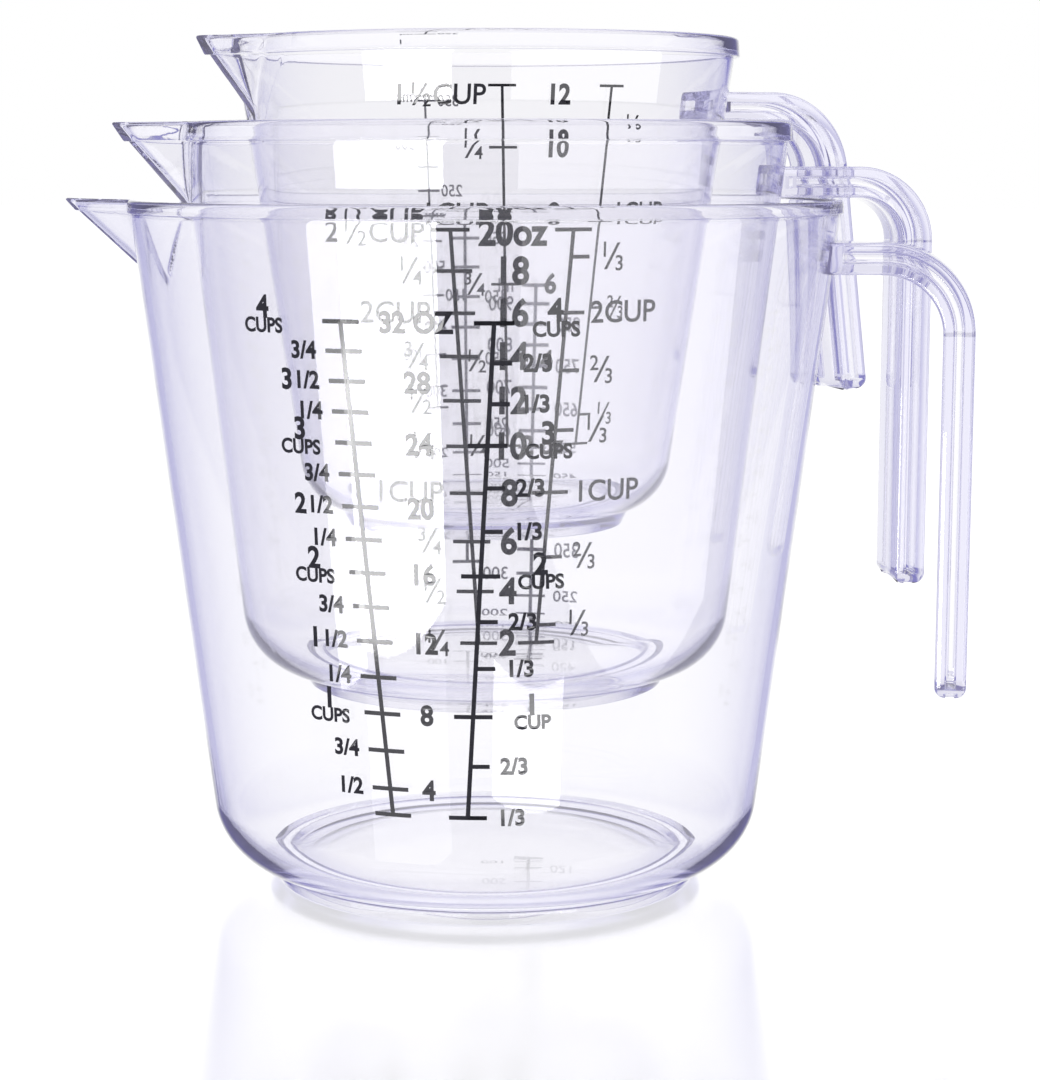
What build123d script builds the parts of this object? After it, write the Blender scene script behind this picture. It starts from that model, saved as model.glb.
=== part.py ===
from build123d import *
from dataclasses import dataclass
from math import asin, atan, cos, degrees, pi, radians, sin, sqrt
import os

# A nesting set of three clear, injection-moulded measuring cups. Each cup is one moulding: a tapered
# bowl on a foot ring, a rim band, a V spout and an open hook handle of I section. An inner cup hangs
# by the arm of its handle on the rim of the cup outside it, and is fanned round from it a little.
# Each cup carries three printed scales: quarter cups and thirds of a cup on the front, and
# millilitres on the back.
# Millimetres, +Z up. The origin is the centre of the large cup's foot, on the surface it stands on.
# The large cup's handle points along +X, its spout along -X and its printed front along -Y.

CUBIC_MM_PER_CUP = 236588.0
CUBIC_MM_PER_MILLILITRE = 1000.0

HANG_GAP = 0.3          # between a handle's arm and the rim that it hangs on
INK = 0.1               # thickness of the printed ink
PRINT_MARGIN = 1.0      # of the ink's layer above and below the end marks
FOOT_LEAN = 1.3         # the foot ring spreads by this much from the surface up to the bowl
FOOT_RING_WIDTH = 2.2
RIM_ROUND = 0.6
RIM_ROUND_SHARE = 0.4   # of the wall, at the most
SPOUT_TIP_ROUND = 3.2   # in plan
SPOUT_SINK = 0.8        # how far the foot of the spout's keel runs into the wall
SPOUT_RUN_IN = 0.25     # of the rim's radius, by which the spout's V is drawn into the bowl
FLANGE = 1.8            # of the handle's I section
FLANGE_ROUND = 0.7
HANDLE_WEB = 5.0
RECESS_START = 2.0      # from the wall to the recess in the side of the handle
END_ROUND_SHARE = 0.36  # of the handle's depth, at its lower end


@dataclass
class Cup:
    """Sizes of one cup, with heights above its own foot."""

    name: str
    height: float             # foot to rim
    slope: float              # the wall leans out by this much for each unit of height
    wall: float
    floor: float
    corner: float             # outside radius between the wall and the underside
    foot_height: float
    foot_outset: float        # top of the foot ring, from where the corner radius runs level
    band_height: float
    band_proud: float
    spout_reach: float        # from the rim out to where the V's flanks would meet
    spout_spread: float       # degrees to each side at which the V meets the rim
    spout_depth: float        # from the rim down to the foot of the keel
    arm_drop: float           # from the rim down to the top of the handle's arm
    handle_clear: float       # from the large cup's rim to the inside of the handle, at its bend
    handle_bend: float        # outside radius of the bend
    handle_depth: float       # of the I section, flange to flange
    handle_width: float
    handle_end: float         # height of the handle's lower end
    handle_flare: float       # degrees by which the grip leans outwards
    print_line: float         # width of a printed line
    print_tick: float         # length of a printed tick
    scale_zero: float         # height from which the printed scales count
    most_cups: float          # volume at the highest mark
    least_cups: float         # volume at the foot of the scales
    spread_top: float         # degrees from the middle of the print to a scale's top
    spread_foot: float        # and to its foot
    millilitre_step: int
    nest_gap: float = 0.0     # from the rim of the cup around it, across the wall
    fan_gap: float = 0.0      # between its handle and the next larger cup's, level with the large rim
    rim_radius: float = 0.0   # the wall's outside, carried up to the top of the rim
    handle_reach: float = 0.0  # from the axis to the outside of the handle, at the end of its bend
    print_turn: float = 0.0   # degrees from square to the handle, to the middle of the front print
    turn: float = 0.0         # degrees round the set's axis, from the large cup's handle
    lift: float = 0.0         # height of the foot above the surface

    def wall_radius(self, height):
        """Outside of the wall."""
        return self.rim_radius - self.slope * (self.height - height)

    def skew(self):
        """Horizontal length through a leaning wall, over its thickness."""
        return sqrt(1 + self.slope**2)

    def inside_radius(self, height):
        """Inside of the wall."""
        return self.wall_radius(height) - self.wall * self.skew()

    def corner_start(self):
        """Radius at which the outside corner radius runs level."""
        return self.wall_radius(self.foot_height + self.corner) - self.corner * self.skew()

    def arm_under(self):
        """Height of the underside of the handle's arm."""
        return self.height - self.arm_drop - self.handle_depth

    def mark_height(self, volume):
        """Height of a printed mark, by volume in the tapered bowl."""
        at_zero = self.inside_radius(self.scale_zero)
        at_mark = (at_zero**3 + 3 * self.slope * volume / pi) ** (1 / 3)
        return self.scale_zero + (at_mark - at_zero) / self.slope

    def marks(self, step, most):
        """Volumes of the marks a step apart that lie on the wall between the foot mark and the band."""
        least = self.least_cups * CUBIC_MM_PER_CUP
        top = self.height - self.band_height - self.print_line - PRINT_MARGIN
        numbers = range(1, int(most / step + 0.01) + 1)
        return [n * step for n in numbers if n * step > least - 1 and self.mark_height(n * step) < top]

    def scale_ends(self):
        """Heights of the foot and the top of the printed scales."""
        quarters = self.marks(CUBIC_MM_PER_CUP / 4, self.most_cups * CUBIC_MM_PER_CUP)
        return self.mark_height(self.least_cups * CUBIC_MM_PER_CUP), self.mark_height(quarters[-1])

    def seat(self):
        """Plane of the foot, with x towards the handle."""
        towards_handle = (cos(radians(self.turn)), sin(radians(self.turn)), 0)
        return Plane(origin=(0, 0, self.lift), x_dir=towards_handle, z_dir=(0, 0, 1))

    def front(self):
        """Upright plane through the axis that faces the printed front, with x towards the handle."""
        seat = self.seat()
        return Plane(origin=seat.origin, x_dir=seat.x_dir, z_dir=seat.y_dir * -1)

    def print_face(self, round_to):
        """Upright plane through the axis that a print faces, from the front (0) to the back (180)."""
        angle = radians(self.turn + self.print_turn + round_to)
        across = (cos(angle), sin(angle), 0)
        return Plane(origin=(0, 0, self.lift), x_dir=across, z_dir=(sin(angle), -cos(angle), 0))


large = Cup(
    name="large", height=128.0, slope=0.125, wall=1.6, floor=2.2, corner=13.4, foot_height=2.7,
    foot_outset=2.9, band_height=2.4, band_proud=0.35, spout_reach=17.7, spout_spread=15.0,
    spout_depth=18.0, arm_drop=7.5, handle_clear=18.8, handle_bend=16.5, handle_depth=5.7,
    handle_width=17.0, handle_end=38.0, handle_flare=0.0, print_line=0.75, print_tick=6.5,
    scale_zero=13.4, most_cups=4.0, least_cups=1 / 3, spread_top=11.7, spread_foot=7.15,
    millilitre_step=50, rim_radius=66.0,
)
middle = Cup(
    name="middle", height=104.5, slope=0.115, wall=1.5, floor=2.0, corner=12.0, foot_height=2.6,
    foot_outset=0.9, band_height=3.5, band_proud=0.5, spout_reach=13.9, spout_spread=14.5,
    spout_depth=19.4, arm_drop=8.1, handle_clear=11.4, handle_bend=14.0, handle_depth=5.7,
    handle_width=16.0, handle_end=17.9, handle_flare=0.0, print_line=0.65, print_tick=6.3,
    scale_zero=5.4, most_cups=2.5, least_cups=1 / 4, spread_top=10.85, spread_foot=6.15,
    millilitre_step=50, nest_gap=9.6, fan_gap=0.9,
)
small = Cup(
    name="small", height=89.4, slope=0.15, wall=1.4, floor=1.8, corner=10.5, foot_height=2.4,
    foot_outset=2.8, band_height=3.4, band_proud=0.5, spout_reach=9.2, spout_spread=15.0,
    spout_depth=17.0, arm_drop=9.3, handle_clear=0.4, handle_bend=16.0, handle_depth=5.5,
    handle_width=14.5, handle_end=21.4, handle_flare=7.0, print_line=0.45, print_tick=4.6,
    scale_zero=0.9, most_cups=1.5, least_cups=1 / 4, spread_top=12.5, spread_foot=10.0,
    millilitre_step=25, nest_gap=10.0, fan_gap=1.8, print_turn=-3.5,
)
for around, inside in ((large, middle), (middle, small)):
    inside.rim_radius = around.rim_radius - inside.nest_gap
    inside.lift = around.lift + around.height + HANG_GAP - inside.arm_under()
    between_handles = (around.handle_width + inside.handle_width) / 2 + inside.fan_gap
    inside.turn = around.turn + degrees(2 * asin(between_handles / 2 / large.rim_radius))
for each in (large, middle, small):
    each.handle_reach = large.rim_radius + each.handle_clear + each.handle_depth


def draw_body(cup):
    """Half section of the bowl as a full body: foot ring, corner radius and leaning wall."""
    foot_radius = cup.corner_start() + cup.foot_outset - FOOT_LEAN
    ring_inside = foot_radius - FOOT_RING_WIDTH
    start = degrees(asin(cup.foot_outset / cup.corner)) - 90
    end = -degrees(atan(cup.slope))
    with BuildSketch(cup.front()) as section:
        with BuildLine():
            centre = (cup.corner_start(), cup.foot_height + cup.corner)
            corner = CenterArc(centre, cup.corner, start, end - start)
            Polyline(corner @ 1, (cup.rim_radius, cup.height), (0, cup.height), (0, cup.foot_height),
                     (ring_inside, cup.foot_height), (ring_inside, 0), (foot_radius, 0), corner @ 0)
        make_face()
    return section.sketch


def draw_cavity(cup):
    """Half section of the space inside the bowl."""
    rounding = cup.corner - cup.wall
    bottom = cup.foot_height + cup.floor
    corner_z = bottom + rounding
    corner_x = cup.inside_radius(corner_z) - rounding * cup.skew()
    with BuildSketch(cup.front()) as section:
        with BuildLine():
            corner = CenterArc((corner_x, corner_z), rounding, -90, 90 - degrees(atan(cup.slope)))
            Polyline(corner @ 1, (cup.inside_radius(cup.height), cup.height), (0, cup.height),
                     (0, bottom), corner @ 0)
        make_face()
    return section.sketch


def draw_band(cup):
    """Half section of the rim band, which stands a little proud of the wall."""
    under = cup.height - cup.band_height
    buried = cup.wall_radius(under) - cup.wall / 2
    with BuildSketch(cup.front()) as section:
        with BuildLine():
            Polyline((buried, under), (cup.rim_radius + cup.band_proud, under),
                     (cup.rim_radius + cup.band_proud / 2, cup.height), (buried, cup.height), close=True)
        make_face()
    return section.sketch


def draw_spout(cup, grow):
    """Plan of the spout at the rim: a V with a rounded tip, drawn in towards the middle of the bowl."""
    apex = cup.rim_radius + cup.spout_reach
    spread = radians(cup.spout_spread)
    flank = cup.rim_radius * sin(spread) / (apex - cup.rim_radius * cos(spread))
    length = cup.spout_reach + SPOUT_RUN_IN * cup.rim_radius
    with BuildSketch(cup.seat().offset(cup.height)) as outline:
        with BuildLine():
            Polyline((-apex, 0), (length - apex, flank * length), (length - apex, -flank * length),
                     close=True)
        make_face()
        fillet(outline.vertices().sort_by(Axis.X)[0], SPOUT_TIP_ROUND)
        if grow != 0:
            offset(amount=grow, kind=Kind.INTERSECTION, mode=Mode.REPLACE)
    return outline.sketch


def keel_run(cup):
    """Vector from the spout's tip down its keel to where that runs into the wall."""
    foot = cup.wall_radius(cup.height - cup.spout_depth) - SPOUT_SINK
    apex = cup.rim_radius + cup.spout_reach
    return cup.seat().x_dir * (apex - foot) - Vector(0, 0, cup.spout_depth)


def draw_hook(cup, plane, start, inset):
    """Side outline of the handle, drawn in by inset: arm, bend and grip with a rounded end."""
    flare = radians(cup.handle_flare)
    centre_x = cup.handle_reach - cup.handle_bend
    centre_z = cup.height - cup.arm_drop - cup.handle_bend
    grip = (centre_z - cup.handle_end) / cos(flare) - inset
    down_grip = Vector(sin(flare), -cos(flare)) * grip
    sweep = cup.handle_flare - 90
    with BuildSketch(plane) as hook:
        with BuildLine():
            over = CenterArc((centre_x, centre_z), cup.handle_bend - inset, 90, sweep)
            beneath = CenterArc((centre_x, centre_z), cup.handle_bend - cup.handle_depth + inset, 90, sweep)
            Polyline(over @ 1, over @ 1 + down_grip, beneath @ 1 + down_grip, beneath @ 1)
            Polyline(beneath @ 0, (start, cup.arm_under() + inset),
                     (start, cup.height - cup.arm_drop - inset), over @ 0)
        make_face()
        fillet(hook.vertices().sort_by(Axis.Y)[0:2], END_ROUND_SHARE * (cup.handle_depth - 2 * inset))
    return hook.sketch


def build_handle(cup):
    """The open hook handle, with a recess along each side that leaves an I section."""
    arm_middle = cup.height - cup.arm_drop - cup.handle_depth / 2
    root = cup.wall_radius(arm_middle)
    half = cup.handle_width / 2
    recess = half - HANDLE_WEB / 2
    with BuildPart() as handle:
        extrude(draw_hook(cup, cup.front(), root - cup.wall / 2, 0), amount=half, both=True)
        across = Axis(cup.seat().origin, cup.seat().y_dir)
        fillet(handle.faces().filter_by(across).edges(), FLANGE_ROUND)
        for side in (1, -1):
            side_plane = cup.front().offset(side * half)
            hollow = draw_hook(cup, side_plane, root + RECESS_START, FLANGE)
            extrude(hollow, amount=-side * recess, mode=Mode.SUBTRACT)
    return handle.part


def mould_cup(cup):
    """One cup's moulding, at its place in the nest."""
    handle = build_handle(cup)
    keel = keel_run(cup)
    inset = cup.wall * cup.skew()
    with BuildPart() as moulding:
        revolve(draw_body(cup), axis=Axis.Z)
        revolve(draw_band(cup), axis=Axis.Z)
        extrude(draw_spout(cup, 0), amount=keel.length, dir=keel)
        extrude(draw_spout(cup, cup.band_proud), amount=-cup.band_height)
        add(handle)
        revolve(draw_cavity(cup), axis=Axis.Z, mode=Mode.SUBTRACT)
        extrude(draw_spout(cup, -inset), amount=keel.length, dir=keel, mode=Mode.SUBTRACT)
        rim = moulding.faces().filter_by(Axis.Z).sort_by(Axis.Z)[-1]
        fillet(rim.edges(), min(RIM_ROUND, RIM_ROUND_SHARE * cup.wall))
    return moulding.part


def draw_ink_layer(cup):
    """Half section of the thin layer on the outside of the wall that a scale's ink lies in."""
    foot, top = cup.scale_ends()
    low = foot - PRINT_MARGIN
    high = top + PRINT_MARGIN
    with BuildSketch(cup.front()) as section:
        with BuildLine():
            Polyline((cup.wall_radius(low), low), (cup.wall_radius(low) + INK, low),
                     (cup.wall_radius(high) + INK, high), (cup.wall_radius(high), high), close=True)
        make_face()
    return section.sketch


def scale_offset(cup, side, height):
    """Distance of a front scale's line from the middle of the print."""
    foot, top = cup.scale_ends()
    at_foot = cup.wall_radius(foot) * sin(radians(cup.spread_foot))
    at_top = cup.wall_radius(top) * sin(radians(cup.spread_top))
    return side * (at_foot + (at_top - at_foot) * (height - foot) / (top - foot))


def print_scale(cup, plane, side, step, one_sided):
    """A scale's ink: a line with a bar at each end and a tick for each volume, a step apart."""
    ends = [(scale_offset(cup, side, height), height) for height in cup.scale_ends()]
    with BuildPart() as scale:
        revolve(draw_ink_layer(cup), axis=Axis.Z)
        with BuildSketch(plane):
            with BuildLine() as line:
                Line(*ends)
            trace(line.line, line_width=cup.print_line)
            with Locations(*ends):
                Rectangle(cup.print_tick, cup.print_line)
            for volume in cup.marks(step, cup.most_cups * CUBIC_MM_PER_CUP):
                height = cup.mark_height(volume)
                tick = cup.print_tick / 2 if one_sided(volume) else cup.print_tick
                shift = side * (cup.print_tick - tick) / 2
                with Locations((scale_offset(cup, side, height) + shift, height)):
                    Rectangle(tick, cup.print_line)
        extrude(amount=cup.rim_radius + INK, mode=Mode.INTERSECT)
    return scale.part


def never(volume):
    """Every tick crosses the line."""
    return False


def part_of_a_cup(volume):
    """A tick for a third of a cup stands on one side of the line; one for a whole cup crosses it."""
    cups = volume / CUBIC_MM_PER_CUP
    return abs(cups - round(cups)) > 0.01


os.makedirs("parts", exist_ok=True)
for cup in (large, middle, small):
    millilitres = cup.millilitre_step * CUBIC_MM_PER_MILLILITRE
    pieces = {
        "cup": mould_cup(cup),
        "quarters_scale": print_scale(cup, cup.print_face(0), -1, CUBIC_MM_PER_CUP / 4, never),
        "thirds_scale": print_scale(cup, cup.print_face(0), 1, CUBIC_MM_PER_CUP / 3, part_of_a_cup),
        "millilitres_scale": print_scale(cup, cup.print_face(180), 0, millilitres, never),
    }
    for piece_name, piece in pieces.items():
        node = f"{cup.name}_{piece_name}"
        piece.label = node
        export_step(piece, f"parts/{node}.step")
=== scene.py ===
"""Looks of a nesting set of three clear measuring cups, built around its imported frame.

Everything is in metres in the frame of the CAD model: the large cup stands on the surface z = 0 with
its handle along +X, its spout along -X and its printed front facing -Y. Each cup is one moulding, made
here as a smooth mesh, and its three printed scales are made with their numbers.
"""
import logging
import math
from dataclasses import dataclass
from enum import Enum

import bmesh
import bpy
from mathutils import Matrix, Vector


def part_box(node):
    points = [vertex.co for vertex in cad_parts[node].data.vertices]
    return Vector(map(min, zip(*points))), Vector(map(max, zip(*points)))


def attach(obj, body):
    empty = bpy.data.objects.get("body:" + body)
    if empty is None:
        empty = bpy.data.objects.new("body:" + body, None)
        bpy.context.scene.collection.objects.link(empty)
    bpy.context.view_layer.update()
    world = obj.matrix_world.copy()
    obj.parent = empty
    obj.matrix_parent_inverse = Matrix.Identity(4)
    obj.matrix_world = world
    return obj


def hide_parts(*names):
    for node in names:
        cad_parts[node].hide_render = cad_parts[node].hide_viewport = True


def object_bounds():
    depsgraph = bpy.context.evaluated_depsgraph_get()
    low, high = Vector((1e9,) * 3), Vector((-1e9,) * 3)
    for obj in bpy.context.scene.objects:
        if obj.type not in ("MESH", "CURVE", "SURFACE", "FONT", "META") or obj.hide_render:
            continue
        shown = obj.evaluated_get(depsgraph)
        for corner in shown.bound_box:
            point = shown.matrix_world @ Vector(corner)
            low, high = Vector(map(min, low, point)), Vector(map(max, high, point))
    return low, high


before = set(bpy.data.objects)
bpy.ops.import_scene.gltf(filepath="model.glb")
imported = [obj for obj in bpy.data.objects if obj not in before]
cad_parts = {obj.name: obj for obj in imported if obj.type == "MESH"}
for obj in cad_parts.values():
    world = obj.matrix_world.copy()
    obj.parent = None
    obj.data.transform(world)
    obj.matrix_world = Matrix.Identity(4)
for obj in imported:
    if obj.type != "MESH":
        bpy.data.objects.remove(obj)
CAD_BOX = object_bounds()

LOG = logging.getLogger("measuring_cups")

MM = 0.001
CUP_VOLUME = 236588.0          # cubic millimetres
MILLILITRE = 1000.0            # cubic millimetres
MERGE = 1e-4                   # millimetres

Point = tuple[float, float]


class Side(Enum):
    """Which way a printed label stands from its scale's line."""

    LEFT = -1
    MIDDLE = 0
    RIGHT = 1


class Face(Enum):
    """The side of a cup that carries a print, as degrees round its axis from the front."""

    FRONT = 0.0
    BACK = 180.0


@dataclass(frozen=True)
class CupSizes:
    """Sizes of one cup in millimetres, with heights above its own foot."""

    name: str
    turn: float
    height: float
    rim_radius: float
    slope: float
    wall: float
    floor: float
    corner: float
    foot_height: float
    foot_radius: float
    band_height: float
    band_proud: float
    spout_apex: float
    spout_spread: float
    spout_depth: float
    arm_drop: float
    handle_reach: float
    handle_bend: float
    handle_depth: float
    handle_width: float
    handle_end: float
    handle_flare: float
    print_line: float
    print_tick: float
    scale_zero: float
    most_cups: float
    least_cups: float
    spread_top: float
    spread_foot: float
    print_turn: float

    @property
    def node(self) -> str:
        """Name of the cup's CAD node and of its body."""
        return f"{self.name}_cup"

    @property
    def skew(self) -> float:
        """Horizontal length through a leaning wall, over its thickness."""
        return math.sqrt(1 + self.slope**2)

    @property
    def inset(self) -> float:
        """Horizontal thickness of the wall."""
        return self.wall * self.skew

    @property
    def lift(self) -> float:
        """Height of the cup's foot in the frame, in millimetres."""
        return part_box(self.node)[0].z / MM

    def wall_radius(self, height: float) -> float:
        """Outside of the wall at a height.

        Args:
            height: height above the foot.

        Returns:
            The radius, without the rim band.
        """
        return self.rim_radius - self.slope * (self.height - height)

    def mark_height(self, volume: float) -> float:
        """Height of a printed mark, by volume in the tapered bowl.

        Args:
            volume: cubic millimetres.

        Returns:
            Height above the foot.
        """
        at_zero = self.wall_radius(self.scale_zero) - self.inset
        at_mark = (at_zero**3 + 3 * self.slope * volume / math.pi) ** (1 / 3)
        return self.scale_zero + (at_mark - at_zero) / self.slope

    @property
    def scale_top(self) -> float:
        """Height of the top of the printed scales."""
        return self.mark_height(self.most_cups * CUP_VOLUME)

    @property
    def foot_mark(self) -> float:
        """Height of the foot of the printed scales."""
        return self.mark_height(self.least_cups * CUP_VOLUME)

    def scale_offset(self, side: int, height: float) -> float:
        """Distance of a front scale's line from the middle of the print.

        Args:
            side: -1 for the left scale, 1 for the right one and 0 for a middle one.
            height: height above the foot.

        Returns:
            Distance to the right of the middle.
        """
        top = self.wall_radius(self.scale_top) * math.sin(math.radians(self.spread_top))
        foot = self.wall_radius(self.foot_mark) * math.sin(math.radians(self.spread_foot))
        share = (height - self.foot_mark) / (self.scale_top - self.foot_mark)
        return side * (foot + (top - foot) * share)

    def place(self) -> Matrix:
        """Transform from the cup's own millimetres to the frame."""
        turn = Matrix.Rotation(math.radians(self.turn), 4, "Z")
        return Matrix.Translation((0, 0, self.lift * MM)) @ turn @ Matrix.Scale(MM, 4)


# ---------------------------------------------------------------- shader building


class Socket:
    """A shader socket on which Python's operators add Math nodes."""

    def __init__(self, tree: "Tree", output: bpy.types.NodeSocket) -> None:
        """Wrap an output socket of a node tree."""
        self.tree = tree
        self.output = output

    def _math(self, operation: str, first: object, second: object) -> "Socket":
        """Add a Math node.

        Args:
            operation: the Math node's operation.
            first: its first value or socket.
            second: its second value or socket.

        Returns:
            The node's result.
        """
        return self.tree.node("ShaderNodeMath", {"operation": operation}, {0: first, 1: second})[0]

    def __add__(self, other: object) -> "Socket":
        """Sum."""
        return self._math("ADD", self, other)

    def __radd__(self, other: object) -> "Socket":
        """Sum with a number on the left."""
        return self._math("ADD", other, self)

    def __sub__(self, other: object) -> "Socket":
        """Difference."""
        return self._math("SUBTRACT", self, other)

    def __mul__(self, other: object) -> "Socket":
        """Product."""
        return self._math("MULTIPLY", self, other)

    def __rmul__(self, other: object) -> "Socket":
        """Product with a number on the left."""
        return self._math("MULTIPLY", other, self)


class Tree:
    """A node tree and the one method that adds nodes to it."""

    def __init__(self, owner: bpy.types.ID) -> None:
        """Clear the owner's node tree.

        Args:
            owner: a material or a world.
        """
        owner.use_nodes = True
        self.nodes = owner.node_tree.nodes
        self.links = owner.node_tree.links
        self.nodes.clear()

    def node(self, kind: str, settings: dict | None = None, values: dict | None = None) -> list[Socket]:
        """Add a node.

        Args:
            kind: the node's type.
            settings: properties of the node, set first. "stops" holds a ramp's (place, colour) pairs.
            values: numbers, colours or sockets for its inputs, by name or number.

        Returns:
            Its outputs.
        """
        made = self.nodes.new(kind)
        for name, value in (settings or {}).items():
            if name == "stops":
                self._set_stops(made.color_ramp, value)
            else:
                setattr(made, name, value)
        for name, value in (values or {}).items():
            if isinstance(value, Socket):
                self.links.new(value.output, made.inputs[name])
            else:
                made.inputs[name].default_value = value
        return [Socket(self, output) for output in made.outputs]

    @staticmethod
    def _set_stops(ramp: bpy.types.ColorRamp, stops: list) -> None:
        """Give a colour ramp its stops.

        Args:
            ramp: the ramp.
            stops: (place, colour) pairs, in order.
        """
        while len(ramp.elements) < len(stops):
            ramp.elements.new(1.0)
        for element, (place, colour) in zip(ramp.elements, stops):
            element.position = place
            element.color = colour


@dataclass(frozen=True)
class ClearPlastic:
    """Water-clear moulded plastic with a lavender toner that shows along its edges, and a painted glow: light
    given out inside the plastic that stands in for scattered light.
    """

    name: str = "clear_plastic"
    colour: tuple = (0.984, 0.982, 0.983, 1.0)
    ior: float = 1.50
    toner: tuple = (0.22, 0.20, 0.56, 1.0)
    toner_density: float = 21.0          # per metre
    # painted glow: colour of the light that the plastic's volume gives out, though it is no lamp
    scatter: tuple = (0.92, 0.88, 1.0, 1.0)
    scatter_strength: float = 3.7        # strength of the painted glow that the plastic gives out, per metre of path, standing in for the light that long paths pick up
    flow_scale: float = 38.0             # of the moulding's faint flow waves, per metre
    flow_height: float = 0.00004
    haze: float = 0.015
    haze_change: float = 0.03

    def build(self) -> bpy.types.Material:
        """Make the material.

        Returns:
            The material.
        """
        material = bpy.data.materials.new(self.name)
        tree = Tree(material)
        place = tree.node("ShaderNodeTexCoord")[3]
        flow = tree.node("ShaderNodeTexNoise", None,
                         {"Vector": place, "Scale": self.flow_scale, "Detail": 1.5})[0]
        bump = tree.node("ShaderNodeBump", None,
                         {"Height": flow, "Strength": 1.0, "Distance": self.flow_height})[0]
        wear = tree.node("ShaderNodeTexNoise", None,
                         {"Vector": place, "Scale": self.flow_scale * 9, "Detail": 5.0})[0]
        surface = tree.node("ShaderNodeBsdfPrincipled", None, {
            "Base Color": self.colour, "IOR": self.ior, "Transmission Weight": 1.0,
            "Roughness": self.haze + self.haze_change * (wear * wear * wear), "Normal": bump})[0]
        absorbed = tree.node("ShaderNodeVolumeAbsorption", None,
                             {"Color": self.toner, "Density": self.toner_density})[0]
        # painted glow: an emission inside the plastic that stands in for scattered light
        painted_glow = tree.node("ShaderNodeEmission", None,
                              {"Color": self.scatter, "Strength": self.scatter_strength})[0]
        volume = tree.node("ShaderNodeAddShader", None, {0: absorbed, 1: painted_glow})[0]
        tree.node("ShaderNodeOutputMaterial", None, {"Surface": surface, "Volume": volume})
        return material


@dataclass(frozen=True)
class PrintInk:
    """Black screen-printed ink, a little uneven in its gloss."""

    name: str = "print_ink"
    colour: tuple = (0.008, 0.008, 0.011, 1.0)
    thin_colour: tuple = (0.02, 0.02, 0.026, 1.0)
    gloss: float = 0.03
    gloss_change: float = 0.05
    grain: float = 900.0                 # of the screen's weave, per metre

    def build(self) -> bpy.types.Material:
        """Make the material.

        Returns:
            The material.
        """
        material = bpy.data.materials.new(self.name)
        tree = Tree(material)
        place = tree.node("ShaderNodeTexCoord")[3]
        grain = tree.node("ShaderNodeTexNoise", None,
                          {"Vector": place, "Scale": self.grain, "Detail": 4.0})[0]
        tone = tree.node("ShaderNodeValToRGB", {"stops": [(0.35, self.colour), (0.75, self.thin_colour)]},
                         {"Fac": grain})[0]
        bump = tree.node("ShaderNodeBump", None,
                         {"Height": grain, "Strength": 0.1, "Distance": 0.00001})[0]
        surface = tree.node("ShaderNodeBsdfPrincipled", None, {
            "Base Color": tone, "Roughness": self.gloss + self.gloss_change * grain, "Normal": bump})[0]
        tree.node("ShaderNodeOutputMaterial", None, {"Surface": surface})
        return material


# ---------------------------------------------------------------- mesh building


def new_piece(name: str, bm: bmesh.types.BMesh, place: Matrix) -> bpy.types.Object:
    """Turn a bmesh into an object whose place is in its mesh.

    Args:
        name: the object's name.
        bm: the mesh, which is freed.
        place: transform from the mesh's own coordinates to the frame.

    Returns:
        The object, at the origin.
    """
    bm.transform(place)
    mesh = bpy.data.meshes.new(name)
    bm.to_mesh(mesh)
    bm.free()
    made = bpy.data.objects.new(name, mesh)
    bpy.context.scene.collection.objects.link(made)
    return made


def round_corners(bm: bmesh.types.BMesh, corners: list[tuple[bmesh.types.BMVert, float]]) -> None:
    """Round corners of a flat face, each to its own radius.

    Args:
        bm: the mesh that holds the face.
        corners: each corner and its radius.
    """
    for vert, radius in corners:
        away = [edge.other_vert(vert).co - vert.co for edge in vert.link_edges]
        offset = radius / math.tan(away[0].angle(away[1]) / 2)
        segments = max(3, int(2 + 3 * math.sqrt(radius)))
        bmesh.ops.bevel(bm, geom=[vert], offset=offset, offset_type="OFFSET", affect="VERTICES",
                        segments=segments, profile=0.5, material=-1)


def cut_with(target: bpy.types.Object, tool: bpy.types.Object, operation: str) -> None:
    """Join or cut a closed mesh with another, which is then removed.

    Args:
        target: the mesh that changes.
        tool: the other mesh.
        operation: UNION or DIFFERENCE.
    """
    modifier = target.modifiers.new("boolean", "BOOLEAN")
    modifier.operation = operation
    modifier.solver = "EXACT"
    modifier.object = tool
    graph = bpy.context.evaluated_depsgraph_get()
    result = bpy.data.meshes.new_from_object(target.evaluated_get(graph))
    target.modifiers.clear()
    target.data = result
    bpy.data.objects.remove(tool)


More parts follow.
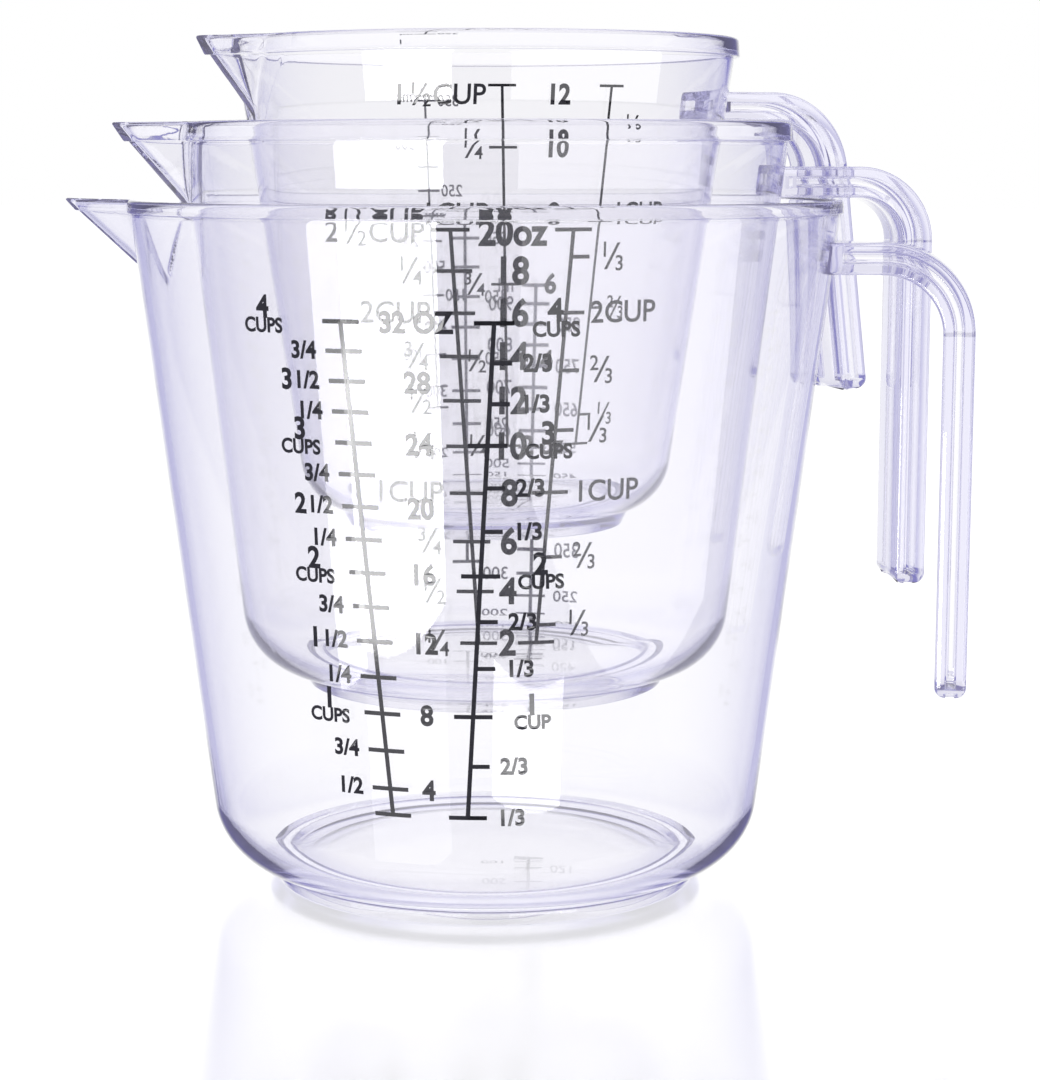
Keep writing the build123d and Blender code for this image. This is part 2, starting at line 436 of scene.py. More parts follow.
@dataclass(frozen=True)
class Bowl:
    """A cup's tapered bowl with its foot ring, rim band and pouring spout."""

    sizes: CupSizes
    foot_lean: float = 1.3
    ring_width: float = 2.2
    rim_round: float = 0.65
    edge_round: float = 0.35
    band_round: float = 0.2
    under_band_round: float = 0.1
    tip_round: float = 3.2
    crease: float = 0.45                 # softness of the line where the spout leaves the wall
    spout_sink: float = 0.8
    spout_half_sector: float = 24.0      # degrees of closely spaced columns
    spout_steps: int = 120
    round_steps: int = 210
    wall_rows: int = 9
    spout_rows: int = 26

    def section(self) -> bmesh.types.BMesh:
        """Draw the closed half section of the wall in the XZ plane.

        Returns:
            A mesh of the section's edges.
        """
        cup = self.sizes
        foot_top = cup.foot_radius + self.foot_lean
        under_band = cup.height - cup.band_height
        spout_foot = cup.height - cup.spout_depth - 1
        corner_inside = cup.corner - cup.wall
        bottom = cup.foot_height + cup.floor
        rise = cup.corner - math.sqrt(cup.corner**2 - max(0.0, foot_top - self.corner_start()) ** 2)
        outline = [
            (0, cup.foot_height, 0),
            (cup.foot_radius - self.ring_width, cup.foot_height, self.edge_round),
            (cup.foot_radius - self.ring_width, 0, self.edge_round),
            (cup.foot_radius, 0, self.edge_round),
            (foot_top, cup.foot_height + rise, 0),
            *self.corner_arc(foot_top),
            (cup.wall_radius(spout_foot), spout_foot, 0),
            (cup.wall_radius(under_band), under_band, self.under_band_round),
            (cup.rim_radius + cup.band_proud, under_band, self.band_round),
            (cup.rim_radius + cup.band_proud / 2, cup.height, self.rim_round),
            (cup.rim_radius - cup.inset, cup.height, self.rim_round),
            (cup.wall_radius(spout_foot) - cup.inset, spout_foot, 0),
            (cup.wall_radius(bottom) - cup.inset, bottom, corner_inside),
            (0, bottom, 0),
        ]
        bm = bmesh.new()
        verts = [bm.verts.new((x, 0, z)) for x, z, _ in outline]
        bm.faces.new(verts)
        round_corners(bm, [(vert, radius) for vert, (_, _, radius) in zip(verts, outline) if radius > 0])
        bmesh.ops.delete(bm, geom=list(bm.faces), context="FACES_ONLY")
        self.add_rows(bm)
        return bm

    def corner_start(self) -> float:
        """Radius at which the outside corner radius runs level."""
        cup = self.sizes
        centre_height = cup.foot_height + cup.corner
        return cup.wall_radius(centre_height) - cup.corner * cup.skew

    def corner_arc(self, foot_top: float) -> list[tuple[float, float, float]]:
        """Outside corner radius from the foot ring up to the wall.

        Args:
            foot_top: radius at which the arc leaves the foot ring.

        Returns:
            Points of the arc, each with no rounding of its own.
        """
        cup = self.sizes
        steps = 16
        start = math.asin((foot_top - self.corner_start()) / cup.corner) - math.pi / 2
        end = -math.atan(cup.slope)
        angles = [start + (end - start) * step / steps for step in range(1, steps + 1)]
        return [(self.corner_start() + cup.corner * math.cos(angle),
                 cup.foot_height + cup.corner + cup.corner * math.sin(angle), 0) for angle in angles]

    def add_rows(self, bm: bmesh.types.BMesh) -> None:
        """Divide the section's long edges, closely where the spout is.

        Args:
            bm: the section.
        """
        cup = self.sizes
        spout_foot = cup.height - cup.spout_depth - 1.5
        for edge in list(bm.edges):
            length = edge.calc_length()
            in_spout = min(vert.co.z for vert in edge.verts) > spout_foot
            pitch = cup.spout_depth / self.spout_rows if in_spout else cup.height / self.wall_rows
            cuts = int(length / pitch)
            if cuts > 0:
                bmesh.ops.subdivide_edges(bm, edges=[edge], cuts=cuts)

    def flank(self, azimuth: float, height: float, shift: float) -> float:
        """Radius of the spout's V in plan.

        Args:
            azimuth: radians from the spout's middle.
            height: height above the cup's foot.
            shift: how far the V is drawn in, for its inside.

        Returns:
            Distance of the V from the axis in that direction.
        """
        cup = self.sizes
        spread = math.radians(cup.spout_spread)
        half_angle = math.atan2(cup.rim_radius * math.sin(spread),
                                cup.spout_apex - cup.rim_radius * math.cos(spread))
        keel_foot = cup.wall_radius(cup.height - cup.spout_depth) - self.spout_sink
        down = (cup.height - height) / cup.spout_depth
        apex = cup.spout_apex + (keel_foot - cup.spout_apex) * down - shift / math.sin(half_angle)
        lost = self.tip_round * (1 / math.sin(half_angle) - 1)
        softening = lost * math.tan(half_angle) / cup.spout_apex
        bent = math.sqrt(azimuth**2 + softening**2)
        return apex * math.sin(half_angle) / math.sin(bent + half_angle)

    def outermost(self, wall: float, flank: float) -> float:
        """The larger of two radii, blended where they cross.

        Args:
            wall: radius of the round wall.
            flank: radius of the spout's V.

        Returns:
            The blended radius.
        """
        apart = flank - wall
        if abs(apart) > 8 * self.crease:
            return max(wall, flank)
        return (wall + flank + math.sqrt(apart**2 + self.crease**2)) / 2 - self.crease / 8

    def shape_spout(self, bm: bmesh.types.BMesh) -> None:
        """Draw the wall and band out to the spout's V.

        Args:
            bm: the spun bowl, in the cup's own millimetres.
        """
        cup = self.sizes
        for vert in bm.verts:
            radius = math.hypot(vert.co.x, vert.co.y)
            height = vert.co.z
            azimuth = math.atan2(vert.co.y, -vert.co.x)
            if height < cup.height - cup.spout_depth or abs(azimuth) > math.radians(self.spout_half_sector):
                continue
            outside = cup.wall_radius(height)
            inside = outside - cup.inset
            new_outside = self.outermost(outside, self.flank(azimuth, height, 0))
            new_inside = self.outermost(inside, self.flank(azimuth, height, cup.inset))
            share = (radius - inside) / (outside - inside)
            if share <= 1:
                new_radius = new_inside + share * (new_outside - new_inside)
            else:
                new_radius = new_outside + radius - outside
            vert.co.x *= new_radius / radius
            vert.co.y *= new_radius / radius

    def build(self) -> bmesh.types.BMesh:
        """Spin the section round the axis and draw out the spout.

        Returns:
            The closed bowl in the cup's own millimetres.
        """
        bm = self.section()
        start = math.radians(180 - self.spout_half_sector)
        bmesh.ops.rotate(bm, verts=list(bm.verts), cent=(0, 0, 0),
                         matrix=Matrix.Rotation(start, 3, "Z"))
        sector = math.radians(2 * self.spout_half_sector)
        spun = bmesh.ops.spin(bm, geom=list(bm.verts) + list(bm.edges), cent=(0, 0, 0), axis=(0, 0, 1),
                              angle=sector, steps=self.spout_steps)
        bmesh.ops.spin(bm, geom=spun["geom_last"], cent=(0, 0, 0), axis=(0, 0, 1),
                       angle=2 * math.pi - sector, steps=self.round_steps)
        bmesh.ops.remove_doubles(bm, verts=list(bm.verts), dist=MERGE)
        self.shape_spout(bm)
        bmesh.ops.recalc_face_normals(bm, faces=list(bm.faces))
        return bm


@dataclass(frozen=True)
class Handle:
    """The open hook handle: an arm, a bend and a grip, recessed along both sides."""

    sizes: CupSizes
    flange: float = 1.8
    web: float = 5.0
    edge_round: float = 0.7
    end_round: float = 2.0
    recess_start: float = 2.0
    recess_round: float = 0.4
    recess_past: float = 2.0             # by which the recess's cutter passes the handle's side
    bend_steps: int = 40

    @property
    def root(self) -> float:
        """Radius of the wall's outside at the middle of the arm."""
        cup = self.sizes
        return cup.wall_radius(cup.height - cup.arm_drop - cup.handle_depth / 2)

    def hook(self, start: float, inset: float, across: Point, end_round: float) -> bmesh.types.BMesh:
        """Carry a rectangle along the arm, round the bend and down the grip.

        Args:
            start: radius at which the arm starts.
            inset: how far the outline is drawn in from the handle's own.
            across: the rectangle's two limits across the handle.
            end_round: rounding of the lower end.

        Returns:
            The closed hook in the cup's own millimetres.
        """
        cup = self.sizes
        top = cup.height - cup.arm_drop - inset
        under = cup.height - cup.arm_drop - cup.handle_depth + inset
        centre = Vector((cup.handle_reach - cup.handle_bend, 0, cup.height - cup.arm_drop - cup.handle_bend))
        flare = math.radians(cup.handle_flare)
        grip = (centre.z - cup.handle_end) / math.cos(flare) - inset
        bm = bmesh.new()
        low, high = across
        face = bm.faces.new([bm.verts.new((start, y, z))
                             for y, z in ((low, under), (high, under), (high, top), (low, top))])
        rounding = min(self.edge_round, (top - under) / 4)
        round_corners(bm, [(vert, rounding) for vert in list(face.verts)])
        face = bm.faces[:][0]
        end = bmesh.ops.extrude_face_region(bm, geom=[face], use_keep_orig=True)["geom"]
        bmesh.ops.translate(bm, vec=(centre.x - start, 0, 0),
                            verts=[item for item in end if isinstance(item, bmesh.types.BMVert)])
        tip = next(item for item in end if isinstance(item, bmesh.types.BMFace))
        spun = bmesh.ops.spin(bm, geom=[tip, *tip.edges, *tip.verts], cent=centre, axis=(0, 1, 0),
                              angle=math.pi / 2 - flare, steps=self.bend_steps)["geom_last"]
        tip = next(item for item in spun if isinstance(item, bmesh.types.BMFace))
        end = bmesh.ops.extrude_face_region(bm, geom=[tip])["geom"]
        run = Vector((math.sin(flare), 0, -math.cos(flare))) * grip
        bmesh.ops.translate(bm, vec=run, verts=[item for item in end if isinstance(item, bmesh.types.BMVert)])
        bmesh.ops.remove_doubles(bm, verts=list(bm.verts), dist=MERGE)
        last = min(bm.faces, key=lambda item: item.calc_center_median().z)
        bmesh.ops.bevel(bm, geom=list(last.edges), offset=end_round, offset_type="OFFSET", affect="EDGES",
                        segments=8, profile=0.5, material=-1)
        bmesh.ops.recalc_face_normals(bm, faces=list(bm.faces))
        return bm

    def build(self) -> bpy.types.Object:
        """Make the handle with its side recesses.

        Returns:
            The handle, in its place.
        """
        cup = self.sizes
        half = cup.handle_width / 2
        bar = new_piece(f"{cup.name}_handle_bar",
                        self.hook(self.root - cup.wall / 2, 0, (-half, half), self.end_round), cup.place())
        for side in (-1, 1):
            limits = sorted((side * self.web / 2, side * (half + self.recess_past)))
            start = self.root + self.recess_start
            cutter = self.hook(start, self.flange, tuple(limits), self.recess_round)
            cut_with(bar, new_piece("recess", cutter, cup.place()), "DIFFERENCE")
        return bar


@dataclass(frozen=True)
class Label:
    """One printed number or word."""

    text: str
    height: float                        # of its capitals, in millimetres
    x: float                             # to the right of the middle of the print
    z: float                             # above the cup's foot, at the middle of the capitals
    align: Side = Side.MIDDLE
    bold: bool = False
    slant: float = 0.0                   # to the right, for each unit of height


@dataclass(frozen=True)
class PrintedScale:
    """A scale's line, end bars, ticks and labels, as ink on the outside of a cup."""

    sizes: CupSizes
    name: str
    face: Face
    side: int
    volumes: tuple[float, ...]
    half_ticks: bool
    labels: tuple[Label, ...]
    gap: float = 0.02                    # under the ink
    ink: float = 0.06
    line_pitch: float = 1.0
    capital_share: float = 0.66          # of the built-in letters' size
    condense: float = 0.9                # of the letters' width

    def strip(self, bm: bmesh.types.BMesh, start: Point, end: Point) -> None:
        """Add a printed line between two places.

        Args:
            bm: the flat print.
            start: x and z of one end.
            end: x and z of the other.
        """
        half = self.sizes.print_line / 2
        along = Vector((end[0] - start[0], 0, end[1] - start[1]))
        side = along.cross(Vector((0, 1, 0))).normalized() * half
        first = Vector((start[0], 0, start[1]))
        edge = bm.edges.new([bm.verts.new(first - side), bm.verts.new(first + side)])
        steps = max(1, int(along.length / self.line_pitch))
        for _ in range(steps):
            made = bmesh.ops.extrude_edge_only(bm, edges=[edge])["geom"]
            bmesh.ops.translate(bm, vec=along / steps,
                                verts=[item for item in made if isinstance(item, bmesh.types.BMVert)])
            edge = next(item for item in made if isinstance(item, bmesh.types.BMEdge))

    def lettering(self, bm: bmesh.types.BMesh, label: Label) -> None:
        """Add a label's letters.

        Args:
            bm: the flat print.
            label: the label.
        """
        curve = bpy.data.curves.new("label", "FONT")
        curve.body = label.text
        curve.size = label.height / self.capital_share
        curve.align_x = {Side.LEFT: "RIGHT", Side.MIDDLE: "CENTER", Side.RIGHT: "LEFT"}[label.align]
        curve.offset = label.height * (0.05 if label.bold else 0.018)
        curve.resolution_u = 4
        text = bpy.data.objects.new("label", curve)
        bpy.context.scene.collection.objects.link(text)
        graph = bpy.context.evaluated_depsgraph_get()
        flat = bpy.data.meshes.new_from_object(text.evaluated_get(graph))
        slant = Matrix(((self.condense, label.slant, 0, 0), (0, 1, 0, 0), (0, 0, 1, 0), (0, 0, 0, 1)))
        centred = slant @ Matrix.Translation((0, -label.height / 2, 0))
        upright = Matrix.Rotation(math.pi / 2, 4, "X")
        flat.transform(Matrix.Translation((label.x, 0, label.z)) @ upright @ centred)
        bm.from_mesh(flat)
        bpy.data.objects.remove(text)
        bpy.data.curves.remove(curve)
        bpy.data.meshes.remove(flat)

    def wrap(self, bm: bmesh.types.BMesh) -> None:
        """Give the flat print its thickness and lay it on the wall.

        Args:
            bm: the flat print.
        """
        cup = self.sizes
        bmesh.ops.triangulate(bm, faces=list(bm.faces))
        bmesh.ops.recalc_face_normals(bm, faces=list(bm.faces))
        for face in bm.faces:
            face.smooth = False
        flipped = [face for face in bm.faces if face.normal.y > 0]
        bmesh.ops.reverse_faces(bm, faces=flipped)
        top = bmesh.ops.extrude_face_region(bm, geom=list(bm.faces), use_keep_orig=True)["geom"]
        raised = {item for item in top if isinstance(item, bmesh.types.BMVert)}
        for vert in bm.verts:
            radius = cup.wall_radius(vert.co.z) + self.gap + (self.ink if vert in raised else 0.0)
            vert.co.y = -math.sqrt(radius**2 - vert.co.x**2)
        bmesh.ops.recalc_face_normals(bm, faces=list(bm.faces))
        bmesh.ops.rotate(bm, verts=list(bm.verts), cent=(0, 0, 0),
                         matrix=Matrix.Rotation(math.radians(self.face.value + cup.print_turn), 3, "Z"))

    def build(self, ink: bpy.types.Material) -> bpy.types.Object:
        """Print the scale.

        Args:
            ink: its material.

        Returns:
            The print as a piece of its own.
        """
        cup = self.sizes
        bm = bmesh.new()
        ends = [(cup.scale_offset(self.side, height), height) for height in (cup.foot_mark, cup.scale_top)]
        self.strip(bm, *ends)
        half_tick = cup.print_tick / 2
        for x, z in ends:
            self.strip(bm, (x - half_tick, z), (x + half_tick, z))
        for volume in self.volumes:
            height = cup.mark_height(volume)
            x = cup.scale_offset(self.side, height)
            cups = volume / CUP_VOLUME
            whole = abs(cups - round(cups)) < 0.01 or not self.half_ticks
            self.strip(bm, (x - (half_tick if whole else 0), height), (x + half_tick, height))
        for label in self.labels:
            self.lettering(bm, label)
        self.wrap(bm)
        name = f"{cup.name}_{self.name}"
        piece = new_piece(f"{name}_print", bm, cup.place())
        piece.data.materials.append(ink)
        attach(piece, cup.node)
        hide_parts(name)
        LOG.info("%s: %d faces", piece.name, len(piece.data.polygons))
        return piece


# ---------------------------------------------------------------- the cups


@dataclass(frozen=True)
class LabelStyle:
    """Heights of one cup's printed labels and how far they stand from the scales, in millimetres."""

    whole: float                         # height of a whole number of cups
    fraction: float
    ounce: float
    millilitre: float
    tick_gap: float                      # from a scale's line to the near end of a fraction
    ounce_step: int
    millilitre_step: int = 50
    top_drop: float = 0.0                # of the highest labels, below their mark
    top_ounce_unit: str = ""             # after the highest number of ounces
    low_ounce_unit: str = ""             # and after the lowest
    bold: bool = False
    stacked: bool = False                # the word stands under the number, not after it
    word: float = 0.0                    # height of a word that stands under its number
    whole_gap: float = 0.0               # from a scale's line to the middle of such a number
    top_gap: float = 0.0                 # and to the middle of the left scale's highest number


@dataclass(frozen=True)
class MeasuringCup:
    """One cup: its clear moulding and its three prints."""

    sizes: CupSizes
    style: LabelStyle

    def mould(self, plastic: bpy.types.Material) -> bpy.types.Object:
        """Make the moulding: bowl and handle in one closed mesh.

        Args:
            plastic: its material.

        Returns:
            The moulding.
        """
        cup = self.sizes
        piece = new_piece(f"{cup.name}_cup_moulding", Bowl(cup).build(), cup.place())
        cut_with(piece, Handle(cup).build(), "UNION")
        piece.data.materials.clear()
        piece.data.materials.append(plastic)
        piece.data.shade_smooth()
        piece.data.set_sharp_from_angle(angle=math.radians(32))
        piece.visible_shadow = False
        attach(piece, cup.node)
        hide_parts(cup.node)
        LOG.info("%s: %d faces", piece.name, len(piece.data.polygons))
        return piece

    def marks(self, share: int) -> list[tuple[int, int]]:
        """Marks that divide each cup into equal shares, as whole cups and shares left over.

        Args:
            share: shares in a cup.

        Returns:
            Pairs of whole cups and shares, from the lowest mark up.
        """
        cup = self.sizes
        lowest = math.ceil(cup.least_cups * share - 0.01)
        highest = int(cup.most_cups * share + 0.01)
        return [divmod(number, share) for number in range(lowest, highest + 1)]

    def cup_labels(self, side: int, share: int) -> tuple[Label, ...]:
        """Labels of a front scale.

        Args:
            side: -1 for the left scale and 1 for the right one.
            share: shares in a cup.

        Returns:
            The labels.
        """
        cup, style = self.sizes, self.style
        align = Side.LEFT if side < 0 else Side.RIGHT
        made = []
        for whole, part in self.marks(share):
            volume = (whole + part / share) * CUP_VOLUME
            z = cup.mark_height(volume)
            line = cup.scale_offset(side, z)
            top = volume > cup.most_cups * CUP_VOLUME - 1
            near = line + side * style.tick_gap
            fraction = self.fraction(part, share)
            if part == 0 and style.stacked:
                word = "CUP" if whole == 1 and side > 0 else "CUPS"
                middle = line + side * (style.top_gap if top and side < 0 else style.whole_gap)
                made.append(Label(str(whole), style.whole, middle, z + style.whole * 0.6, bold=style.bold))
                made.append(Label(word, style.word, middle, z - style.word * 0.45, bold=style.bold))
            elif part == 0:
                made.append(Label(f"{whole}CUP", style.whole, near, z, align))
            elif style.stacked:
                made.append(Label(fraction, style.fraction, near, z, align, style.bold))
                if part * 2 == share and whole > 0:
                    past_half = near + side * style.fraction * 1.85
                    made.append(Label(str(whole), style.fraction * 1.2, past_half, z, align, style.bold))
            elif top:
                low = z - style.top_drop
                made.append(Label("CUP", style.whole, near, low, align))
                past_word = near + side * (style.whole * 2.6 + style.fraction * 0.5)
                made.extend(self.diagonal(fraction, past_word, low))
                past_half = past_word + side * style.fraction * 0.5
                made.append(Label(str(whole), style.whole, past_half, low, align))
            else:
                made.extend(self.diagonal(fraction, near + side * style.fraction * 0.6, z))
        return tuple(made)

    def diagonal(self, fraction: str, x: float, z: float) -> tuple[Label, ...]:
        """Write a fraction with its numerator up to the left and its denominator down to the right.

        Args:
            fraction: the fraction in one line.
            x: its middle, to the right of the middle of the print.
            z: its middle, above the cup's foot.

        Returns:
            Labels of the numerator, the stroke and the denominator.
        """
        size = self.style.fraction
        over, under = fraction.split("/")
        aside, above = size * 0.27, size * 0.24
        return (Label(over, size * 0.5, x - aside, z + above),
                Label("/", size * 0.85, x, z, slant=0.25),
                Label(under, size * 0.5, x + aside, z - above))

    def fraction(self, part: int, share: int) -> str:
        """A fraction in its lowest terms.

        Args:
            part: shares.
            share: shares in a whole.

        Returns:
            The fraction's text.
        """
        common = math.gcd(part, share)
        return f"{part // common}/{share // common}"

    def ounce_labels(self) -> tuple[Label, ...]:
        """Fluid ounces, down the middle of the print, level with the left scale's marks."""
        cup, style = self.sizes, self.style
        most = int(cup.most_cups * 8 + 0.01)
        lowest = math.ceil(cup.least_cups * 8)
        steps = list(range(most, lowest - 1, -style.ounce_step))
        made = []
        for ounces in steps:
            z = cup.mark_height(ounces / 8 * CUP_VOLUME)
            unit = {steps[0]: style.top_ounce_unit, steps[-1]: style.low_ounce_unit}.get(ounces, "")
            if ounces == most:
                z -= style.top_drop
            made.append(Label(f"{ounces}{unit}", style.ounce, 0.0, z, bold=True))
        return tuple(made)

    def millilitre_labels(self) -> tuple[Label, ...]:
        """Millilitres on the back: hundreds to the right of the line, the steps between to its left."""
        cup, style = self.sizes, self.style
        made = []
        for volume in self.millilitre_marks():
            amount = round(volume / MILLILITRE)
            if amount % (style.millilitre_step * 2) == 0:
                side, align = 1, Side.RIGHT
            elif amount % style.millilitre_step == 0:
                side, align = -1, Side.LEFT
            else:
                continue
            near = side * style.tick_gap
            made.append(Label(str(amount), style.millilitre, near, cup.mark_height(volume), align))
        made.append(Label("ml", style.millilitre, style.tick_gap, cup.scale_top, Side.RIGHT))
        return tuple(made)

    def millilitre_marks(self) -> tuple[float, ...]:
        """Volumes of the marks on the back, in cubic millimetres."""
        cup = self.sizes
        step = (25 if cup.most_cups < 2 else 50) * MILLILITRE
        count = int(cup.most_cups * CUP_VOLUME / step)
        marks = [number * step for number in range(1, count + 1)]
        return tuple(volume for volume in marks if volume > cup.least_cups * CUP_VOLUME)

    def prints(self, ink: bpy.types.Material) -> list[bpy.types.Object]:
        """Print the three scales.

        Args:
            ink: their material.

        Returns:
            The three prints.
        """
        quarters = tuple((whole + part / 4) * CUP_VOLUME for whole, part in self.marks(4))
        thirds = tuple((whole + part / 3) * CUP_VOLUME for whole, part in self.marks(3))
        scales = (
            PrintedScale(self.sizes, "quarters_scale", Face.FRONT, -1, quarters, False,
                         self.cup_labels(-1, 4) + self.ounce_labels()),
            PrintedScale(self.sizes, "thirds_scale", Face.FRONT, 1, thirds, True, self.cup_labels(1, 3)),
            PrintedScale(self.sizes, "millilitres_scale", Face.BACK, 0, self.millilitre_marks(), False,
                         self.millilitre_labels()),
        )
        return [scale.build(ink) for scale in scales]


LARGE = CupSizes(
    name="large", turn=0.0, height=128.0, rim_radius=66.0, slope=0.125, wall=1.6, floor=2.2, corner=13.4,
    foot_height=2.7, foot_radius=40.1, band_height=2.4, band_proud=0.35, spout_apex=83.7,
    spout_spread=15.0, spout_depth=18.0, arm_drop=7.5, handle_reach=90.5, handle_bend=16.5,
    handle_depth=5.7, handle_width=17.0, handle_end=38.0, handle_flare=0.0, print_line=0.75,
    print_tick=6.5, scale_zero=13.4, most_cups=4.0, least_cups=1 / 3, spread_top=11.7, spread_foot=7.15,
    print_turn=0.0,
)
MIDDLE = CupSizes(
    name="middle", turn=15.15, height=104.5, rim_radius=56.4, slope=0.115, wall=1.5, floor=2.0,
    corner=12.0, foot_height=2.6, foot_radius=33.5, band_height=3.5, band_proud=0.5, spout_apex=70.3,
    spout_spread=14.5, spout_depth=19.4, arm_drop=8.1, handle_reach=83.1, handle_bend=14.0,
    handle_depth=5.7, handle_width=16.0, handle_end=17.9, handle_flare=0.0, print_line=0.65,
    print_tick=6.3, scale_zero=5.4, most_cups=2.5, least_cups=1 / 4, spread_top=10.85, spread_foot=6.15,
    print_turn=0.0,
)
SMALL = CupSizes(
    name="small", turn=30.0, height=89.4, rim_radius=46.4, slope=0.15, wall=1.4, floor=1.8, corner=10.5,
    foot_height=2.4, foot_radius=25.8, band_height=3.4, band_proud=0.5, spout_apex=55.6,
    spout_spread=15.0, spout_depth=17.0, arm_drop=9.3, handle_reach=71.8, handle_bend=16.0,
    handle_depth=5.5, handle_width=14.5, handle_end=21.4, handle_flare=7.0, print_line=0.45,
    print_tick=4.6, scale_zero=0.9, most_cups=1.5, least_cups=1 / 4, spread_top=12.5, spread_foot=10.0,
    print_turn=-3.5,
)
LARGE_STYLE = LabelStyle(whole=3.45, fraction=2.7, ounce=3.3, millilitre=2.8, tick_gap=5.0, ounce_step=4,
                         top_ounce_unit=" OZ", bold=True, stacked=True, word=2.3, whole_gap=9.8,
                         top_gap=14.5)
MIDDLE_STYLE = LabelStyle(whole=3.5, fraction=4.8, ounce=4.2, millilitre=2.4, tick_gap=4.2, ounce_step=2,
                          top_drop=0.4, top_ounce_unit="oz")
SMALL_STYLE = LabelStyle(whole=3.2, fraction=4.0, ounce=3.1, millilitre=2.2, tick_gap=2.6, ounce_step=2,
                         top_drop=1.5, low_ounce_unit=" oz")


# ---------------------------------------------------------------- the studio


@dataclass(frozen=True)
class Camera:
    """A camera looking a little down on the cups, at the height of the large cup's rim."""

    azimuth: float = 10.4                # degrees from the large cup's printed front
    distance: float = 0.488              # from the cups' axis, level
    height: float = 0.1364
    down: float = 8.47                   # degrees
    lens: float = 86.517                 # millimetres
    sensor: float = 36.0                 # millimetres
    sideways: float = 0.03213            # shift of the lens, which leaves room for the handles

    def build(self) -> bpy.types.Object:
        """Make the camera and set it as the scene's.

        Returns:
            The camera.
        """
        data = bpy.data.cameras.new("camera")
        data.sensor_fit = "AUTO"
        data.sensor_width = self.sensor
        data.lens = self.lens
        data.shift_x = self.sideways
        data.clip_start = 0.01
        made = bpy.data.objects.new("camera", data)
        bpy.context.scene.collection.objects.link(made)
        turn = math.radians(self.azimuth)
        made.location = (self.distance * math.sin(turn), -self.distance * math.cos(turn), self.height)
        made.rotation_euler = (math.radians(90 - self.down), 0, turn)
        bpy.context.scene.camera = made
        return made


@dataclass(frozen=True)
class SoftBox:
    """A rectangular soft light that faces the cups."""

    name: str
    azimuth: float                       # degrees, as the camera's
    elevation: float
    distance: float
    width: float
    height: float
    radiance: float

    def build(self, target: Vector) -> bpy.types.Object:
        """Hang the light.

        Args:
            target: the point it faces.

        Returns:
            The light.
        """
        turn, rise = math.radians(self.azimuth), math.radians(self.elevation)
        away = Vector((math.sin(turn) * math.cos(rise), -math.cos(turn) * math.cos(rise), math.sin(rise)))
        data = bpy.data.lights.new(self.name, "AREA")
        data.shape = "RECTANGLE"
        data.size = self.width
        data.size_y = self.height
        data.energy = self.radiance * math.pi * self.width * self.height
        made = bpy.data.objects.new(self.name, data)
        bpy.context.scene.collection.objects.link(made)
        made.location = target + away * self.distance
        made.rotation_euler = away.to_track_quat("Z", "Y").to_euler()
        made.visible_camera = False
        made.visible_transmission = False
        return made


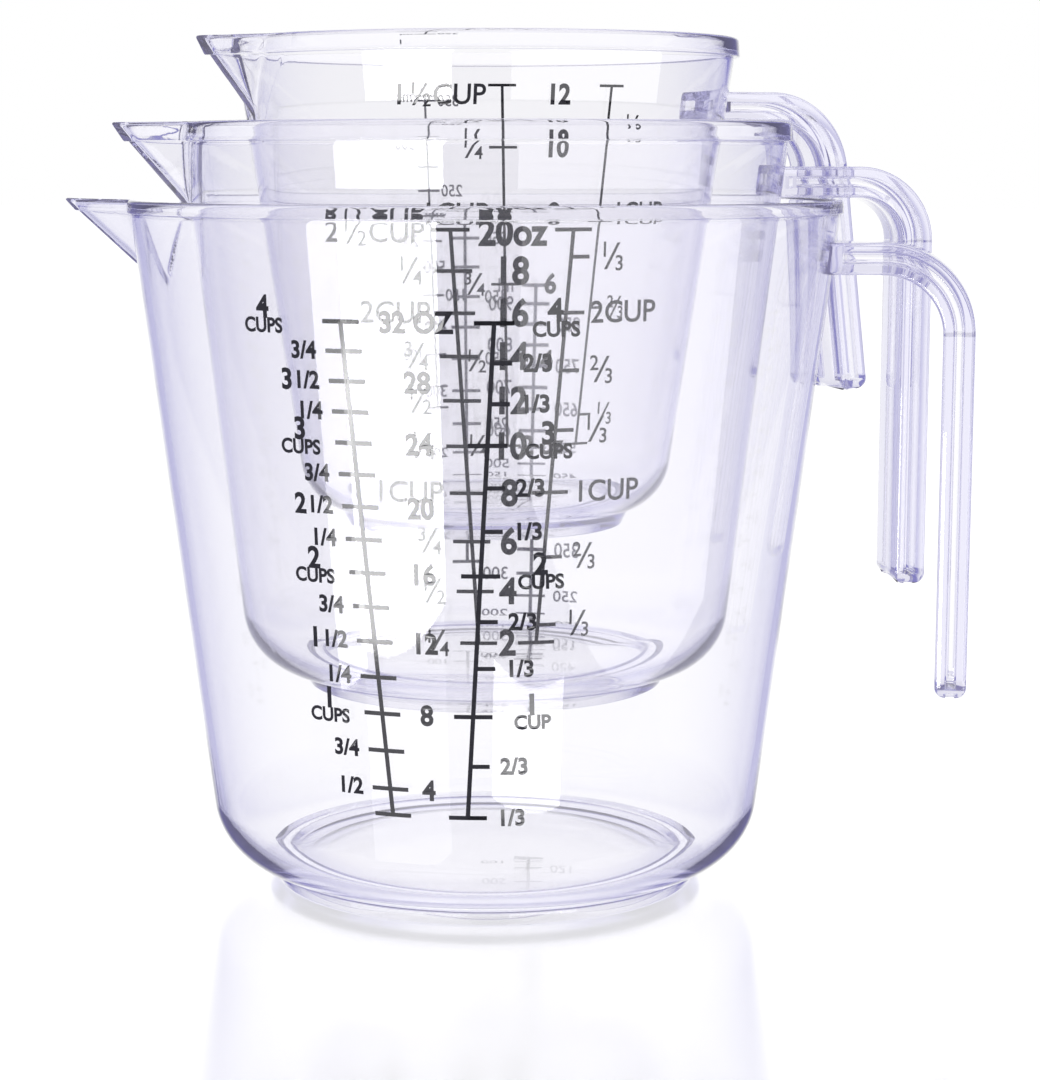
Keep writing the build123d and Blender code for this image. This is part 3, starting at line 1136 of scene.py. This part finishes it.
@dataclass(frozen=True)
class Studio:
    """Pale floor, pale surroundings and soft lights."""

    floor_size: float = 12.0
    floor_mirror: float = 0.5
    floor_haze: float = 0.18
    window_rise: float = 0.25            # how little height takes a direction out of the white
    shades: tuple = ((0.0, (0.64, 0.63, 0.74, 1.0)), (0.45, (0.58, 0.57, 0.72, 1.0)),
                     (0.8, (0.27, 0.26, 0.58, 1.0)), (0.955, (0.22, 0.21, 0.54, 1.0)),
                     (0.985, (1.0, 1.0, 1.0, 1.0)),
                     (1.0, (1.0, 1.0, 1.0, 1.0)))
    lights: tuple[SoftBox, ...] = (
        SoftBox("front_left_box", -20.5, -16.0, 1.4, 0.77, 0.42, 14.0),
        SoftBox("front_left_side_box", -41.0, -16.0, 1.4, 0.27, 0.42, 6.0),
        SoftBox("front_left_low_box", -20.5, -29.0, 1.4, 0.72, 0.21, 1.3),
        SoftBox("front_right_box", 60.0, -16.0, 1.4, 2.1, 0.42, 2.3),
        SoftBox("front_right_low_box", 27.0, -28.0, 1.4, 0.6, 0.1, 7.0),
        SoftBox("top_box", 30.0, 75.0, 1.6, 1.6, 1.6, 0.55),
    )

    def floor(self) -> bpy.types.Object:
        """Lay the floor.

        Returns:
            The floor, which isn't part of the object.
        """
        bm = bmesh.new()
        bmesh.ops.create_grid(bm, x_segments=8, y_segments=8, size=self.floor_size / 2)
        piece = new_piece("floor", bm, Matrix.Identity(4))
        material = bpy.data.materials.new("floor")
        tree = Tree(material)
        matt = tree.node("ShaderNodeEmission", None, {"Color": (1.0, 1.0, 1.0, 1.0), "Strength": 1.25})[0]
        mirror = tree.node("ShaderNodeBsdfGlossy", None,
                           {"Color": (1.0, 1.0, 1.0, 1.0), "Roughness": self.floor_haze})[0]
        both = tree.node("ShaderNodeMixShader", None, {0: self.floor_mirror, 1: matt, 2: mirror})[0]
        tree.node("ShaderNodeOutputMaterial", None, {"Surface": both})
        piece.data.materials.append(material)
        piece.visible_glossy = False
        return piece

    def surroundings(self) -> None:
        """Make the surroundings: white behind the cups, with a dark lavender ring that draws their edges."""
        world = bpy.data.worlds.new("surroundings")
        bpy.context.scene.world = world
        tree = Tree(world)
        direction = tree.node("ShaderNodeTexCoord")[0]
        flattened = tree.node("ShaderNodeVectorMath", {"operation": "MULTIPLY"},
                              {0: direction, 1: (1.0, 1.0, self.window_rise)})[0]
        level = tree.node("ShaderNodeVectorMath", {"operation": "NORMALIZE"}, {0: flattened})[0]
        x, y, _ = tree.node("ShaderNodeSeparateXYZ", None, {0: level})
        turn = math.radians(Camera.azimuth)
        behind = y * math.cos(turn) - x * math.sin(turn)
        shade = tree.node("ShaderNodeValToRGB", {"stops": self.shades}, {"Fac": behind * 0.5 + 0.5})[0]
        light = tree.node("ShaderNodeBackground", None, {"Color": shade, "Strength": 1.0})[0]
        tree.node("ShaderNodeOutputWorld", None, {"Surface": light})

    def build(self, target: Vector) -> None:
        """Set up the studio.

        Args:
            target: the point that the lights face.
        """
        self.floor()
        self.surroundings()
        for light in self.lights:
            light.build(target)


def set_light_paths() -> None:
    """Let light pass all the walls of the nested cups."""
    scene = bpy.context.scene
    scene.cycles.max_bounces = 40
    scene.cycles.transmission_bounces = 40
    scene.cycles.glossy_bounces = 12
    scene.cycles.diffuse_bounces = 3
    scene.cycles.transparent_max_bounces = 24
    scene.cycles.sample_clamp_indirect = 4.0
    scene.view_settings.view_transform = "Standard"


def main() -> None:
    """Build the cups, then the studio and the camera."""
    logging.basicConfig(level=logging.INFO, format="%(message)s")
    plastic = ClearPlastic().build()
    ink = PrintInk().build()
    for sizes, style in ((LARGE, LARGE_STYLE), (MIDDLE, MIDDLE_STYLE), (SMALL, SMALL_STYLE)):
        cup = MeasuringCup(sizes, style)
        cup.mould(plastic)
        cup.prints(ink)
    low, high = CAD_BOX
    Studio().build(Vector((0, 0, (low[2] + high[2]) / 2)))
    Camera().build()
    set_light_paths()


if __name__ == "__main__":
    main()
